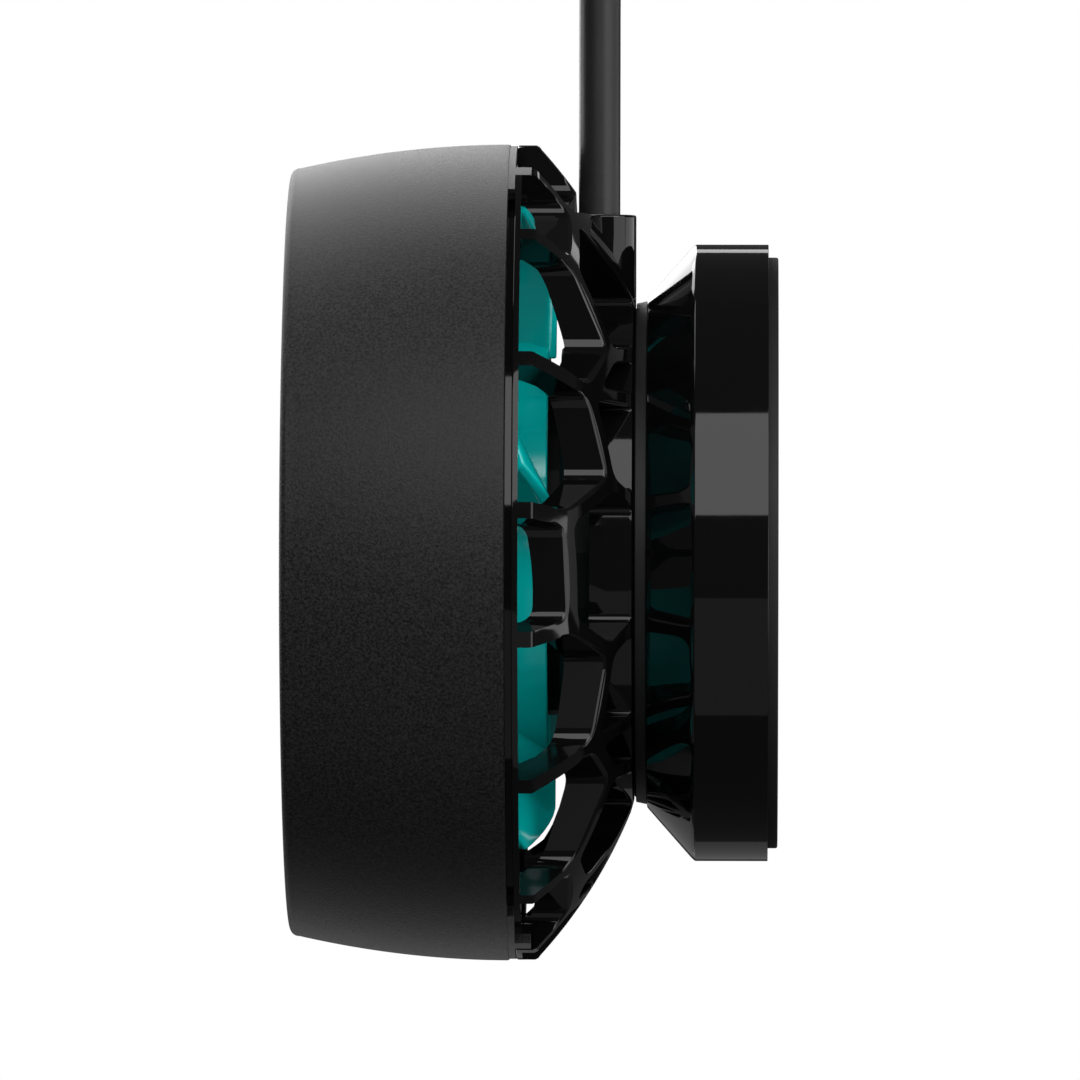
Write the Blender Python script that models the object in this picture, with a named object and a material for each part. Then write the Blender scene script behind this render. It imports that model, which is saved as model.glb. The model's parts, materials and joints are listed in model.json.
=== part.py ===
"""Aquarium wave maker pump on a magnet base, as an assembly of separate parts.

The pump's axis is X. The origin is the centre of the rubber pad's outer face, which sits on the
glass, the water leaves towards -X, and the cable rises along +Z. Design sizes are in millimetres,
and MM turns them into Blender's metres.
"""

from math import atan2, cos, degrees, pi, radians, sin, sqrt

import bmesh
import bpy
from mathutils import Matrix, Vector

MM = 0.001
GAP = 0.3

# Lengths along the pump's axis, measured from the glass
PAD_FRONT = -1.3
BASE_FRONT = -16.8
NECK_FRONT = -18.65
CAGE_REAR = -18.95
RIM_REAR = -32.0
RIM_FRONT = -34.45
SHROUD_REAR = -35.35
SHROUD_FRONT = -64.4

# Radii about the pump's axis
PAD_RADIUS = 39.1
BASE_RADIUS = 40.8
NECK_RADIUS = 33.0
RIM_RADIUS = 53.9
SHROUD_RADIUS = 54.0
SHROUD_CURVE = 123.0
SHROUD_WALL = 2.2
SPIGOT_RADIUS = 51.4
HUB_RING_RADIUS = 33.4
CASE_RADIUS = 27.8
CAN_RADIUS = 21.5
PROPELLER_HUB_RADIUS = 28.2
PROPELLER_RADIUS = 45.8
SHAFT_RADIUS = 1.5
PIVOT_RADIUS = 2.2

# The cage's web: a dome about 6 mm deep, cut by cells that run along the axis
DOME_CURVE = 64.0
WEB_CUT_FRONT = -33.6
WEB_CUT_REAR = -10.0
STRUT_HALF_WIDTH = 1.05
CELL_CORNER = 1.6
OPEN_RADIUS = 62.0

BLADES = 5
COILS = 6
COVER_SCREWS = 3
BASE_SCREWS = 3
BAYONET_LUGS = 4
GUARD_CELLS = 8
GUARD_OPENING = 45.5
BAYONET_TWIST = 12.0
# Angle on the rim of each bayonet key's tab
KEY_TABS = (68.0, -74.2)

# The cable's boss on the cage, and the cable
BOSS_X = -22.7
BOSS_RADIUS = 3.9
BOSS_TOP = 44.7
CABLE_X = -23.68
CABLE_RADIUS = 2.75

# The spare cable lies against the glass as a round coil of four rows and four layers
COIL_X = -13.5
COIL_Y = 38.5
COIL_Z = 135.0
COIL_RADIUS = 30.25
COIL_HALF = 11.0
TIE_WIDTH = 10.0
TIE_THICKNESS = 1.0
LEAD_STEPS = 10
TAIL_X = -9.4
TAIL_END = 108.0

LARGE = 40
MIDDLE = 24
SMALL = 10


def clear_scene():
    for obj in list(bpy.data.objects):
        bpy.data.objects.remove(obj, do_unlink=True)


def make_material(name, colour, roughness, metallic=0.0):
    material = bpy.data.materials.new(name)
    material.use_nodes = True
    shader = material.node_tree.nodes["Principled BSDF"]
    shader.inputs["Base Color"].default_value = (*colour, 1.0)
    shader.inputs["Roughness"].default_value = roughness
    shader.inputs["Metallic"].default_value = metallic
    material.diffuse_color = (*colour, 1.0)
    return material


def make_materials():
    table = {
        "matte_black": ((0.020, 0.020, 0.021), 0.65, 0.0),
        "gloss_black": ((0.006, 0.006, 0.007), 0.12, 0.0),
        "satin_black": ((0.012, 0.012, 0.013), 0.40, 0.0),
        "teal_plastic": ((0.0, 0.180, 0.175), 0.25, 0.0),
        "rubber": ((0.022, 0.022, 0.023), 0.75, 0.0),
        "cable_rubber": ((0.018, 0.018, 0.019), 0.48, 0.0),
        "magnet_nickel": ((0.55, 0.53, 0.50), 0.28, 1.0),
        "steel": ((0.45, 0.45, 0.46), 0.35, 1.0),
        "copper": ((0.72, 0.28, 0.12), 0.35, 1.0),
        "ceramic": ((0.80, 0.79, 0.76), 0.30, 0.0),
        "strap": ((0.025, 0.025, 0.027), 0.90, 0.0),
    }
    return {name: make_material(name, *values) for name, values in table.items()}


def add_object(name, bm, material=None):
    """Makes an object from bm, in millimetres, with its faces pointing out and smooth round sides."""
    bmesh.ops.remove_doubles(bm, verts=bm.verts, dist=0.0005)
    bmesh.ops.recalc_face_normals(bm, faces=bm.faces)
    bmesh.ops.scale(bm, vec=(MM, MM, MM), verts=bm.verts)
    mesh = bpy.data.meshes.new(name)
    bm.to_mesh(mesh)
    bm.free()
    mesh.shade_smooth()
    mesh.set_sharp_from_angle(angle=radians(30))
    obj = bpy.data.objects.new(name, mesh)
    bpy.context.scene.collection.objects.link(obj)
    if material:
        mesh.materials.append(material)
    else:
        obj.hide_render = True
        obj.display_type = "WIRE"
    return obj


def turned_mesh(profile, segments, axis="X"):
    """Turns an outline of (along, radius) points about the axis. It is closed, or ends on the axis."""
    bm = bmesh.new()
    points = [bm.verts.new((along, 0.0, radius)) for along, radius in profile]
    edges = [bm.edges.new(pair) for pair in zip(points, points[1:])]
    if min(radius for _, radius in profile) > 0.0:
        edges.append(bm.edges.new((points[-1], points[0])))
    bmesh.ops.spin(
        bm,
        geom=points + edges,
        cent=(0, 0, 0),
        axis=(1, 0, 0),
        dvec=(0, 0, 0),
        angle=2 * pi,
        steps=segments,
        use_merge=True,
    )
    bmesh.ops.remove_doubles(bm, verts=bm.verts, dist=0.0005)
    bmesh.ops.dissolve_degenerate(bm, edges=bm.edges, dist=0.0001)
    if axis == "Z":
        bmesh.ops.rotate(bm, verts=bm.verts, matrix=Matrix.Rotation(-pi / 2, 3, "Y"))
    return bm


def turned(name, profile, material=None, segments=MIDDLE):
    return add_object(name, turned_mesh(profile, segments), material)


def ring_profile(start, end, inner, outer):
    return [(start, inner), (start, outer), (end, outer), (end, inner)]


def disc_profile(start, end, radius):
    return [(start, 0.0), (start, radius), (end, radius), (end, 0.0)]


def arc_points(centre, radius, start, end, steps):
    """Points on an arc, as (x, y), from start to end in degrees."""
    angles = [radians(start + (end - start) * step / steps) for step in range(steps + 1)]
    return [(centre[0] + radius * cos(a), centre[1] + radius * sin(a)) for a in angles]


def boolean(target, tool, operation="DIFFERENCE"):
    modifier = target.modifiers.new(tool.name, "BOOLEAN")
    modifier.operation = operation
    modifier.solver = "EXACT"
    modifier.object = tool


def prism_faces(bm, outline, start, end):
    """Adds a closed prism along X to bm. The outline holds (y, z) points."""
    lower = [bm.verts.new((start, y, z)) for y, z in outline]
    upper = [bm.verts.new((end, y, z)) for y, z in outline]
    bm.faces.new(lower)
    bm.faces.new(upper)
    for here in range(len(outline)):
        there = (here + 1) % len(outline)
        bm.faces.new((lower[here], lower[there], upper[there], upper[here]))


def prism(name, outline, start, end, material=None):
    bm = bmesh.new()
    prism_faces(bm, outline, start, end)
    return add_object(name, bm, material)


# Cells of a web


def polar(radius, angle):
    """(y, z) of a point on the cage: 0 degrees points to -Y and 90 degrees points up."""
    return (-radius * cos(radians(angle)), radius * sin(radians(angle)))


def signed_area(points):
    pairs = zip(points, points[1:] + points[:1])
    return sum(a[0] * b[1] - b[0] * a[1] for a, b in pairs) / 2


def inset(points, distance):
    """Moves each side of an outline inwards by distance."""
    points = [Vector(point) for point in points]
    if signed_area(points) < 0:
        points.reverse()
    moved = []
    for index, point in enumerate(points):
        before = (point - points[index - 1]).normalized()
        after = (points[(index + 1) % len(points)] - point).normalized()
        left_before = Vector((-before.y, before.x))
        left_after = Vector((-after.y, after.x))
        bisector = (left_before + left_after).normalized()
        moved.append(point + bisector * distance / bisector.dot(left_before))
    return moved


def clip_outside(points, radius):
    """Cuts off the part of an outline that lies inside a circle, and follows the circle there."""
    result = []
    for here, there in zip(points, points[1:] + points[:1]):
        if here.length >= radius:
            result.append(here)
        if (here.length < radius) == (there.length < radius):
            continue
        along = there - here
        half = here.dot(along) / along.length_squared
        root = sqrt(half**2 - (here.length_squared - radius**2) / along.length_squared)
        share = -half + (root if here.length < radius else -root)
        crossing = here + along * share
        if here.length < radius:
            arc = [result[-1].lerp(crossing, part) for part in (0.33, 0.67)]
            result += [point * (radius / point.length) for point in arc]
        result.append(crossing)
    return result


def rounded(points, radius, steps=2):
    """Rounds each real corner of an outline with a curve that leaves its sides radius away."""
    result = []
    for index, point in enumerate(points):
        before = points[index - 1] - point
        after = points[(index + 1) % len(points)] - point
        if before.angle(after) > radians(150):
            result.append(point)
            continue
        reach = min(radius, 0.42 * before.length, 0.42 * after.length)
        start = point + before.normalized() * reach
        end = point + after.normalized() * reach
        for step in range(steps + 1):
            t = step / steps
            result.append(start * (1 - t) ** 2 + point * 2 * t * (1 - t) + end * t**2)
    return result


def cell_outline(corners, half_width, inner_limit):
    outline = inset([polar(*corner) for corner in corners], half_width)
    while outline[-1].length < inner_limit or outline[0].length < inner_limit:
        outline = outline[1:] + outline[:1]
    return rounded(clip_outside(outline, inner_limit), CELL_CORNER)


def mirrored(corners):
    """The same cell on the other side of the vertical plane."""
    return [(radius, 180.0 - angle) for radius, angle in corners]


def cage_cells():
    """Corners of every cell, as (radius, degrees). A rib stands on each side of an open outer cell."""
    ribs = [86.0, 69.8, 48.7, 27.6, 6.6, -12.5, -33.7, -54.9, -76.0]
    feet = [(47.6, 85.0), (48.6, 70.0), (47.8, 50.0), (45.8, 28.0), (47.8, 6.0)]
    feet += [(47.8, -12.0), (45.8, -34.0), (47.4, -55.0), (48.6, -76.0)]
    deep = {2: (40.2, 40.0), 3: (41.2, 13.5), 5: (41.2, -20.5), 6: (40.2, -47.0)}
    neck = [(31.0, angle) for angle in (86.0, 57.0, 39.6, 11.0, -16.0, -43.0, -62.0, -84.0)]
    near = []
    for index in range(8):
        cell = [(OPEN_RADIUS, ribs[index]), feet[index]]
        if index in deep:
            cell.append(deep[index])
        near.append(cell + [feet[index + 1], (OPEN_RADIUS, ribs[index + 1])])
    top, low, low_end, bottom = (39.0, 75.0), (46.6, -63.0), (38.8, -79.0), (44.5, -90.0)
    near.append([feet[1], feet[2], deep[2], neck[1], neck[0], top])
    near.append([deep[2], feet[3], neck[2], neck[1]])
    near.append([feet[3], deep[3], neck[3], neck[2]])
    near.append([feet[4], feet[5], deep[5], neck[4], neck[3], deep[3]])
    near.append([deep[5], feet[6], neck[5], neck[4]])
    near.append([feet[6], deep[6], neck[6], neck[5]])
    near.append([deep[6], feet[7], low, low_end, neck[7], neck[6]])
    near.append([low, feet[8], bottom, low_end])
    near.append([(OPEN_RADIUS, -76.0), feet[8], bottom, (OPEN_RADIUS, -90.0)])
    near.append([bottom, low_end, neck[7], (31.0, -90.0)])
    return near + [mirrored(cell) for cell in near]


def web_cutter(name, cells, half_width, inner_limit, start, end):
    bm = bmesh.new()
    for corners in cells:
        prism_faces(bm, cell_outline(corners, half_width, inner_limit), start, end)
    return add_object(name, bm)


# Base


def make_base_shell(material):
    profile = [(BASE_FRONT, 2.6), (BASE_FRONT, 33.4), (-16.4, 34.2), (-11.7, 40.1)]
    profile += [(-11.2, 40.6), (-10.6, BASE_RADIUS), (-1.6, BASE_RADIUS), (PAD_FRONT, 40.5)]
    profile += [(PAD_FRONT, 39.4), (-3.4, 39.4), (-3.4, 38.2), (-10.6, 38.2), (-14.9, 32.0)]
    profile += [(-14.9, 2.6)]
    shell = turned("base_shell", profile, material, LARGE)
    for x, y, z in screw_places(BASE_SCREWS, 36.6, 30.0, 0.0):
        boss = turned(f"base_boss_{y:.0f}", disc_profile(-12.6, -3.7, 2.2), None, SMALL)
        boss.location = (0, y * MM, z * MM)
        hole = turned(f"base_boss_hole_{y:.0f}", disc_profile(-10.0, -3.0, 1.2), None, SMALL)
        hole.location = boss.location
        boolean(shell, boss, "UNION")
        boolean(shell, hole)
    return shell


def screw_places(count, radius, first, x):
    """Places of screws round the axis."""
    angles = [first + 360.0 * index / count for index in range(count)]
    return [(x, *polar(radius, angle)) for angle in angles]


def screw_profile(head_x, head_height, head_radius, length, shank_radius):
    """A screw that points to -X, with its head's flat side at head_x."""
    end = head_x - head_height - length
    return [
        (head_x, 0.0),
        (head_x, head_radius * 0.8),
        (head_x - head_height * 0.3, head_radius),
        (head_x - head_height, head_radius),
        (head_x - head_height, shank_radius),
        (end + shank_radius, shank_radius),
        (end, shank_radius * 0.4),
        (end, 0.0),
    ]


def make_screw(name, place, sizes, material):
    x, y, z = place
    screw = turned(name, screw_profile(x, *sizes), material, SMALL)
    recess = turned(f"{name}_recess", disc_profile(x - 0.5, x + 0.5, sizes[1] * 0.45), None, 6)
    screw.location = (0, y * MM, z * MM)
    recess.location = screw.location
    boolean(screw, recess)
    return screw


def make_back_plate(material):
    plate = turned("back_plate", disc_profile(-3.1, -1.6, 39.1), material, LARGE)
    for index, (x, y, z) in enumerate(screw_places(BASE_SCREWS, 36.6, 30.0, 0.0)):
        profile = [(-4.0, 0.0), (-4.0, 1.2), (-2.6, 1.2), (-2.6, 2.2), (-1.0, 2.2), (-1.0, 0.0)]
        hole = turned(f"back_plate_hole_{index}", profile, None, SMALL)
        hole.location = (0, y * MM, z * MM)
        boolean(plate, hole)
    return plate


def make_base(materials):
    make_base_shell(materials["gloss_black"])
    make_back_plate(materials["satin_black"])
    for index, place in enumerate(screw_places(BASE_SCREWS, 36.6, 30.0, -1.75)):
        make_screw(f"base_screw_{index + 1}", place, (0.6, 1.9, 5.0, 0.9), materials["steel"])
    turned("base_magnet", ring_profile(-11.4, -3.4, 7.5, 33.5), materials["magnet_nickel"])
    yoke = [(-14.5, 7.5), (-14.5, 31.2), (-13.7, 32.0), (-11.7, 32.0), (-11.7, 7.5)]
    turned("magnet_yoke", yoke, materials["steel"])
    pad = [(PAD_FRONT, 0.0), (PAD_FRONT, PAD_RADIUS), (-0.25, PAD_RADIUS), (0.0, 38.85), (0.0, 0.0)]
    turned("glass_pad", pad, materials["rubber"], LARGE)
    neck = [(NECK_FRONT, 2.6), (NECK_FRONT, 32.8), (-17.1, NECK_RADIUS + 0.2), (-17.1, 2.6)]
    turned("neck_disc", neck, materials["satin_black"], LARGE)


def make_pivot(materials):
    """The shoulder screw that holds the base on the head, and its washer."""
    profile = [(-24.4, 0.0), (-24.4, 1.6), (-23.8, PIVOT_RADIUS), (-13.8, PIVOT_RADIUS)]
    profile += [(-13.8, 4.6), (-12.6, 4.6), (-12.2, 4.0), (-12.2, 0.0)]
    screw = turned("pivot_screw", profile, materials["steel"], 16)
    recess = turned("pivot_screw_recess", disc_profile(-13.2, -12.0, 2.0), None, 6)
    boolean(screw, recess)
    turned("pivot_washer", ring_profile(-14.6, -14.1, 2.6, 5.2), materials["steel"], 16)


# Head


def dome_centre():
    """Centre of the arc that the dome follows between the rim's corner and the neck."""
    start = Vector((-31.3, 53.3))
    end = Vector((CAGE_REAR, 33.2))
    middle = (start + end) / 2
    chord = end - start
    inward = Vector((chord.y, -chord.x)).normalized()
    depth = sqrt(DOME_CURVE**2 - (chord.length / 2) ** 2)
    return middle + inward * depth, start, end


def dome_arc(steps):
    centre, start, end = dome_centre()
    first = degrees(atan2(start.y - centre.y, start.x - centre.x))
    last = degrees(atan2(end.y - centre.y, end.x - centre.x))
    return arc_points(centre, DOME_CURVE, first, last, steps)


def cage_profile():
    """The cage before its cells are cut: spigot, rim, dome and, inside, the ring round the motor."""
    outer = [(RIM_FRONT, RIM_RADIUS), (RIM_REAR, RIM_RADIUS)] + dome_arc(6)
    hub = [(CAGE_REAR, CASE_RADIUS + GAP), (-24.6, CASE_RADIUS + GAP), (-24.6, HUB_RING_RADIUS)]
    inner = [(-28.5, 42.4), (-30.2, 46.1), (-31.4, 48.0), (-33.4, 49.7)]
    spigot = [(-38.9, 49.6), (-38.9, SPIGOT_RADIUS), (RIM_FRONT, SPIGOT_RADIUS)]
    return outer + hub + inner + spigot


def arc_block(name, inner, outer, start_angle, end_angle, start, end, steps=4):
    """A block that follows an arc about the axis, from one angle to the other."""
    angles = [start_angle + (end_angle - start_angle) * s / steps for s in range(steps + 1)]
    outline = [polar(outer, angle) for angle in angles]
    outline += [polar(inner, angle) for angle in reversed(angles)]
    return prism(name, outline, start, end)


def make_cage(material):
    cage = turned("cage", cage_profile(), material, LARGE)
    cells = web_cutter(
        "cage_cells", cage_cells(), STRUT_HALF_WIDTH, HUB_RING_RADIUS, WEB_CUT_FRONT, WEB_CUT_REAR
    )
    boolean(cage, cells)
    slot = [(-20.0, BOSS_TOP), (20.0, BOSS_TOP), (20.0, 60.0), (-20.0, 60.0)]
    boolean(cage, prism("cable_slot", slot, BOSS_X - BOSS_RADIUS - 0.2, WEB_CUT_REAR))
    boss = add_object("cable_boss", turned_mesh(disc_profile(30.0, BOSS_TOP, BOSS_RADIUS), 24, "Z"))
    boss.location = (BOSS_X * MM, 0, 0)
    boolean(cage, boss, "UNION")
    bore = add_object("cable_bore", turned_mesh(disc_profile(33.0, 50.0, 3.05), SMALL, "Z"))
    bore.location = (CABLE_X * MM, 0, 0)
    boolean(cage, bore)
    for index in range(BAYONET_LUGS):
        angle = 360.0 / BAYONET_LUGS * index + 45.0
        lug = arc_block(f"lug_{index}", 50.6, 52.2, angle - 6, angle + 6, -38.2, -37.3)
        boolean(cage, lug, "UNION")
    for index, tab in enumerate(KEY_TABS):
        last = tab + BAYONET_TWIST + 1.6
        notch = arc_block(f"notch_{index}", 52.1, 56.0, tab - 1.6, last, -35.0, -32.1)
        boolean(cage, notch)
    return cage


def make_motor_case(material):
    profile = [(-43.2, 0.0), (-43.2, 1.8), (-46.0, 1.8), (-46.0, 4.0), (-45.0, 5.0), (-45.0, 20.3)]
    profile += [(-43.8, CAN_RADIUS), (-28.6, CAN_RADIUS), (-28.6, 26.9), (-27.7, CASE_RADIUS)]
    profile += [(-19.4, CASE_RADIUS), (-19.4, 26.0), (-22.4, 26.0), (-22.4, 24.6), (-27.0, 24.6)]
    profile += [(-27.0, 20.1), (-43.5, 20.1), (-43.5, 4.9), (-31.0, 4.9), (-31.0, 0.0)]
    case = turned("motor_case", profile, material, MIDDLE)
    for index, (x, y, z) in enumerate(screw_places(COVER_SCREWS, 22.4, 30.0, 0.0)):
        boss = turned(f"case_boss_{index}", disc_profile(-27.8, -21.7, 2.1), None, SMALL)
        hole = turned(f"case_hole_{index}", disc_profile(-26.4, -21.0, 1.2), None, SMALL)
        boss.location = (0, y * MM, z * MM)
        hole.location = boss.location
        boolean(case, boss, "UNION")
        boolean(case, hole)
    return case


def make_motor_cover(material):
    profile = [(-26.0, 0.0), (-26.0, 6.4), (-25.6, 7.0), (-21.3, 7.0), (-21.3, 25.7)]
    profile += [(-19.4, 25.7), (-19.4, 2.6), (-25.0, 2.6), (-25.0, 0.0)]
    cover = turned("motor_cover", profile, material, MIDDLE)
    for index, (x, y, z) in enumerate(screw_places(COVER_SCREWS, 22.4, 30.0, 0.0)):
        step = [(-22.0, 0.0), (-22.0, 1.2), (-20.6, 1.2), (-20.6, 2.2), (-18.0, 2.2), (-18.0, 0.0)]
        hole = turned(f"cover_hole_{index}", step, None, SMALL)
        hole.location = (0, y * MM, z * MM)
        boolean(cover, hole)
    return cover


def stator_outline():
    """Outline of the star of six teeth: each has a stem and a curved tip."""
    outline = []
    for tooth in range(COILS):
        middle = 360.0 / COILS * tooth
        stem = degrees(1.8 / 8.5)
        outline += [polar(8.5, middle - stem), polar(17.3, middle - degrees(1.8 / 17.3))]
        outline += [polar(17.6, middle - 24), polar(19.6, middle - 25)]
        outline += [polar(19.6, middle + turn) for turn in (-12.5, 0, 12.5)]
        outline += [polar(19.6, middle + 25), polar(17.6, middle + 24)]
        outline += [polar(17.3, middle + degrees(1.8 / 17.3)), polar(8.5, middle + stem)]
    return outline


def make_stator(materials):
    core = prism("stator_core", stator_outline(), -41.0, -32.0, materials["steel"])
    bore = turned("stator_bore", disc_profile(-45.0, -28.0, 5.2), None, 24)
    boolean(core, bore)
    for tooth in range(COILS):
        make_coil(f"stator_coil_{tooth + 1}", 360.0 / COILS * tooth, materials["copper"])


def make_coil(name, angle, material):
    """A rectangular winding round one tooth, which points away from the axis at angle."""
    bm = bmesh.new()
    loops = []
    for radius in (9.6, 16.2):
        for half_x, half_y in ((4.8, 2.15), (6.3, 3.9)):
            corners = ((-1, -1), (1, -1), (1, 1), (-1, 1))
            points = [(half_x * i - 36.5, half_y * j, radius) for i, j in corners]
            loops.append([bm.verts.new(point) for point in points])
    for a, b in ((0, 1), (1, 3), (3, 2), (2, 0)):
        for here in range(4):
            there = (here + 1) % 4
            bm.faces.new((loops[a][here], loops[a][there], loops[b][there], loops[b][here]))
    turn = Matrix.Rotation(radians(90.0 - angle), 3, "X")
    bmesh.ops.rotate(bm, verts=bm.verts, matrix=turn)
    return add_object(name, bm, material)


def make_head(materials):
    make_cage(materials["gloss_black"])
    make_motor_case(materials["satin_black"])
    make_motor_cover(materials["satin_black"])
    seal = arc_points((-22.0, 25.2), 0.38, 0.0, 300.0, 5)
    turned("cover_seal", seal, materials["rubber"], MIDDLE)
    for index, place in enumerate(screw_places(COVER_SCREWS, 22.4, 30.0, -19.6)):
        make_screw(f"cover_screw_{index + 1}", place, (0.7, 1.9, 5.2, 0.9), materials["steel"])
    make_stator(materials)
    turned("shaft", disc_profile(-61.6, -43.5, SHAFT_RADIUS), materials["ceramic"], 16)
    root = turned_mesh(disc_profile(33.3, BOSS_TOP - 0.1, CABLE_RADIUS), SMALL, "Z")
    root = add_object("cable_root", root, materials["cable_rubber"])
    root.location = (CABLE_X * MM, 0, 0)


# Rotor


def blade_rear(radius):
    """The blade's rear edge is flat out to 36 mm and then sweeps forwards to the tip."""
    sweep = max(0.0, (radius - 36.0) / (PROPELLER_RADIUS - 36.0))
    return -30.2 - 3.9 * sweep**1.5


def blade_front(radius):
    share = (radius - PROPELLER_HUB_RADIUS) / (PROPELLER_RADIUS - PROPELLER_HUB_RADIUS)
    return -49.0 + 3.0 * share**2


def make_blade(index):
    """A twisted blade, as the mid surface of a grid that a Solidify modifier thickens."""
    bm = bmesh.new()
    rows, columns = 4, 6
    grid = []
    for row in range(rows + 1):
        radius = 26.8 + (PROPELLER_RADIUS - 26.8) * row / rows
        line = []
        for column in range(columns + 1):
            share = column / columns
            rear, front = blade_rear(radius), blade_front(radius)
            along = rear + 0.6 + (front - rear - 1.2) * share
            skew = 14.0 * (radius - 26.8) / (PROPELLER_RADIUS - 26.8)
            angle = 360.0 / BLADES * index + 52.0 * share + skew
            line.append(bm.verts.new((along, *polar(radius, angle))))
        grid.append(line)
    for low, high in zip(grid, grid[1:]):
        for column in range(columns):
            bm.faces.new((low[column], low[column + 1], high[column + 1], high[column]))
    blade = add_object(f"blade_{index + 1}", bm)
    thick = blade.modifiers.new("thickness", "SOLIDIFY")
    thick.thickness = 1.5 * MM
    thick.offset = 0.0
    return blade


def make_propeller(material):
    outer = [(-30.2, PROPELLER_HUB_RADIUS), (-46.5, PROPELLER_HUB_RADIUS), (-49.6, 26.2)]
    outer += [(-52.2, 21.5), (-54.2, 15.0), (-55.4, 8.0), (-55.8, 6.0)]
    inner = [(-55.8, 4.3), (-47.7, 4.3), (-47.7, 22.6), (-45.6, 25.4), (-30.2, 25.4)]
    propeller = turned("propeller", outer + inner, material, LARGE)
    for index in range(BLADES):
        boolean(propeller, make_blade(index), "UNION")
    return propeller


def make_rotor(materials):
    make_propeller(materials["teal_plastic"])
    ring = ring_profile(-44.2, -31.2, 22.1, 25.1)
    turned("rotor_magnet", ring, materials["magnet_nickel"], MIDDLE)
    turned("rear_bush", ring_profile(-51.4, -48.0, 1.8, 4.0), materials["ceramic"], 16)
    turned("front_bush", ring_profile(-55.5, -52.0, 1.8, 4.0), materials["ceramic"], 16)
    turned("rear_thrust_washer", ring_profile(-47.4, -46.3, 1.8, 4.0), materials["ceramic"], 16)
    turned("front_thrust_washer", ring_profile(-56.9, -56.1, 1.8, 4.6), materials["ceramic"], 16)


# Shroud


def shroud_outer(x):
    """The outer wall's radius: it is tangent to the rear edge and curves in towards the front."""
    return SHROUD_RADIUS - (x - SHROUD_REAR) ** 2 / (2 * SHROUD_CURVE)


def make_front_shroud(material):
    lip = -63.2
    steps = 6
    stations = [SHROUD_REAR + (lip - SHROUD_REAR) * step / steps for step in range(steps + 1)]
    outer = [(x, shroud_outer(x)) for x in stations]
    tip_radius = shroud_outer(lip)
    nose = [(-63.9, tip_radius - 0.35), (SHROUD_FRONT, tip_radius - 0.95)]
    nose += [(SHROUD_FRONT, tip_radius - 1.6), (-64.0, tip_radius - SHROUD_WALL)]
    inner = [(x, shroud_outer(x) - SHROUD_WALL) for x in stations[:0:-1]]
    rear = [(-38.7, 51.75), (-38.7, 52.6), (-36.9, 52.6), (-36.9, 51.75), (SHROUD_REAR, 51.75)]
    shroud = turned("front_shroud", outer + nose + inner + rear, material, LARGE)
    for index in range(BAYONET_LUGS):
        angle = 360.0 / BAYONET_LUGS * index + 45.0 - BAYONET_TWIST
        entry = arc_block(f"entry_{index}", 50.5, 52.6, angle - 7, angle + 7, -37.5, -34.0)
        boolean(shroud, entry)
    for index, (middle, tab) in enumerate(zip((90.0, -90.0), KEY_TABS)):
        key = arc_block(f"key_{index}", 52.2, 53.8, middle - 28, middle + 28, -36.0, -34.8, 8)
        boolean(shroud, key, "UNION")
        hook = arc_block(f"hook_{index}", 52.5, 53.8, tab - 0.6, tab + 0.6, -35.2, -32.5, 1)
        boolean(shroud, hook, "UNION")
    return shroud


def guard_cells():
    """Two rows of cells round the guard's boss, eight in each, like a honeycomb bent into a ring."""
    cells = []
    half = 180.0 / GUARD_CELLS
    for index in range(GUARD_CELLS):
        angle = 2 * half * index
        low, high = (26.5, angle - half), (26.5, angle + half)
        cells.append([(5.0, angle - half), low, (30.5, angle), high, (5.0, angle + half)])
        top = [(OPEN_RADIUS, angle + half * share) for share in (0, 1, 2)]
        cells.append([(30.5, angle), *top, (30.5, angle + 2 * half), high])
    return cells


def guard_outline(corners):
    """A guard cell, kept inside the guard's rim."""
    outline = cell_outline(corners, 0.95, 10.0)
    return [p * (GUARD_OPENING / p.length) if p.length > GUARD_OPENING else p for p in outline]


def make_guard(material):
    rows = (46.4, 30.0, 9.5)
    outer = [(-59.3 - 2.2 * (1 - (radius / 47.0) ** 2), radius) for radius in rows]
    profile = [(-57.2, 47.9), (-57.2, 49.1), (-60.9, 48.85), (-61.3, 48.4), (-61.3, 46.6)]
    profile += outer + [(-63.3, 7.8), (-63.3, 3.6), (-58.0, 3.6), (-58.0, 8.4)]
    profile += [(x + 2.3, radius) for x, radius in reversed(outer[:2])]
    guard = turned("front_guard", profile, material, 36)
    bm = bmesh.new()
    for corners in guard_cells():
        prism_faces(bm, guard_outline(corners), -70.0, -50.0)
    boolean(guard, add_object("guard_cells", bm))
    return guard


def make_shroud(materials):
    make_front_shroud(materials["matte_black"])
    make_guard(materials["satin_black"])
    turned("front_bearing", ring_profile(-62.9, -58.2, 1.8, 3.3), materials["ceramic"], 16)


# Cable


def coil_edge():
    """Height below the coil's centre where a straight run beside it just clears its outer shape."""
    outer = COIL_RADIUS + COIL_HALF
    return sqrt(outer**2 - (COIL_Y - CABLE_RADIUS - GAP) ** 2)


def eased(start, end, share):
    """A value that leaves start and reaches end smoothly, as share goes from 0 to 1."""
    share = min(1.0, max(0.0, share))
    return start + (end - start) * share * share * (3 - 2 * share)


def lead_route():
    """The stretch between the boss and the coil: straight up, then over to the coil's front row."""
    bottom = BOSS_TOP + 0.25
    top = COIL_Z - coil_edge() - 0.2
    points = []
    for step in range(LEAD_STEPS + 1):
        share = step / LEAD_STEPS
        x = eased(CABLE_X, COIL_X - 0.75 * COIL_HALF, (share - 0.45) / 0.55)
        points.append((x, 0.0, bottom + (top - bottom) * share))
    return points


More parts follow.
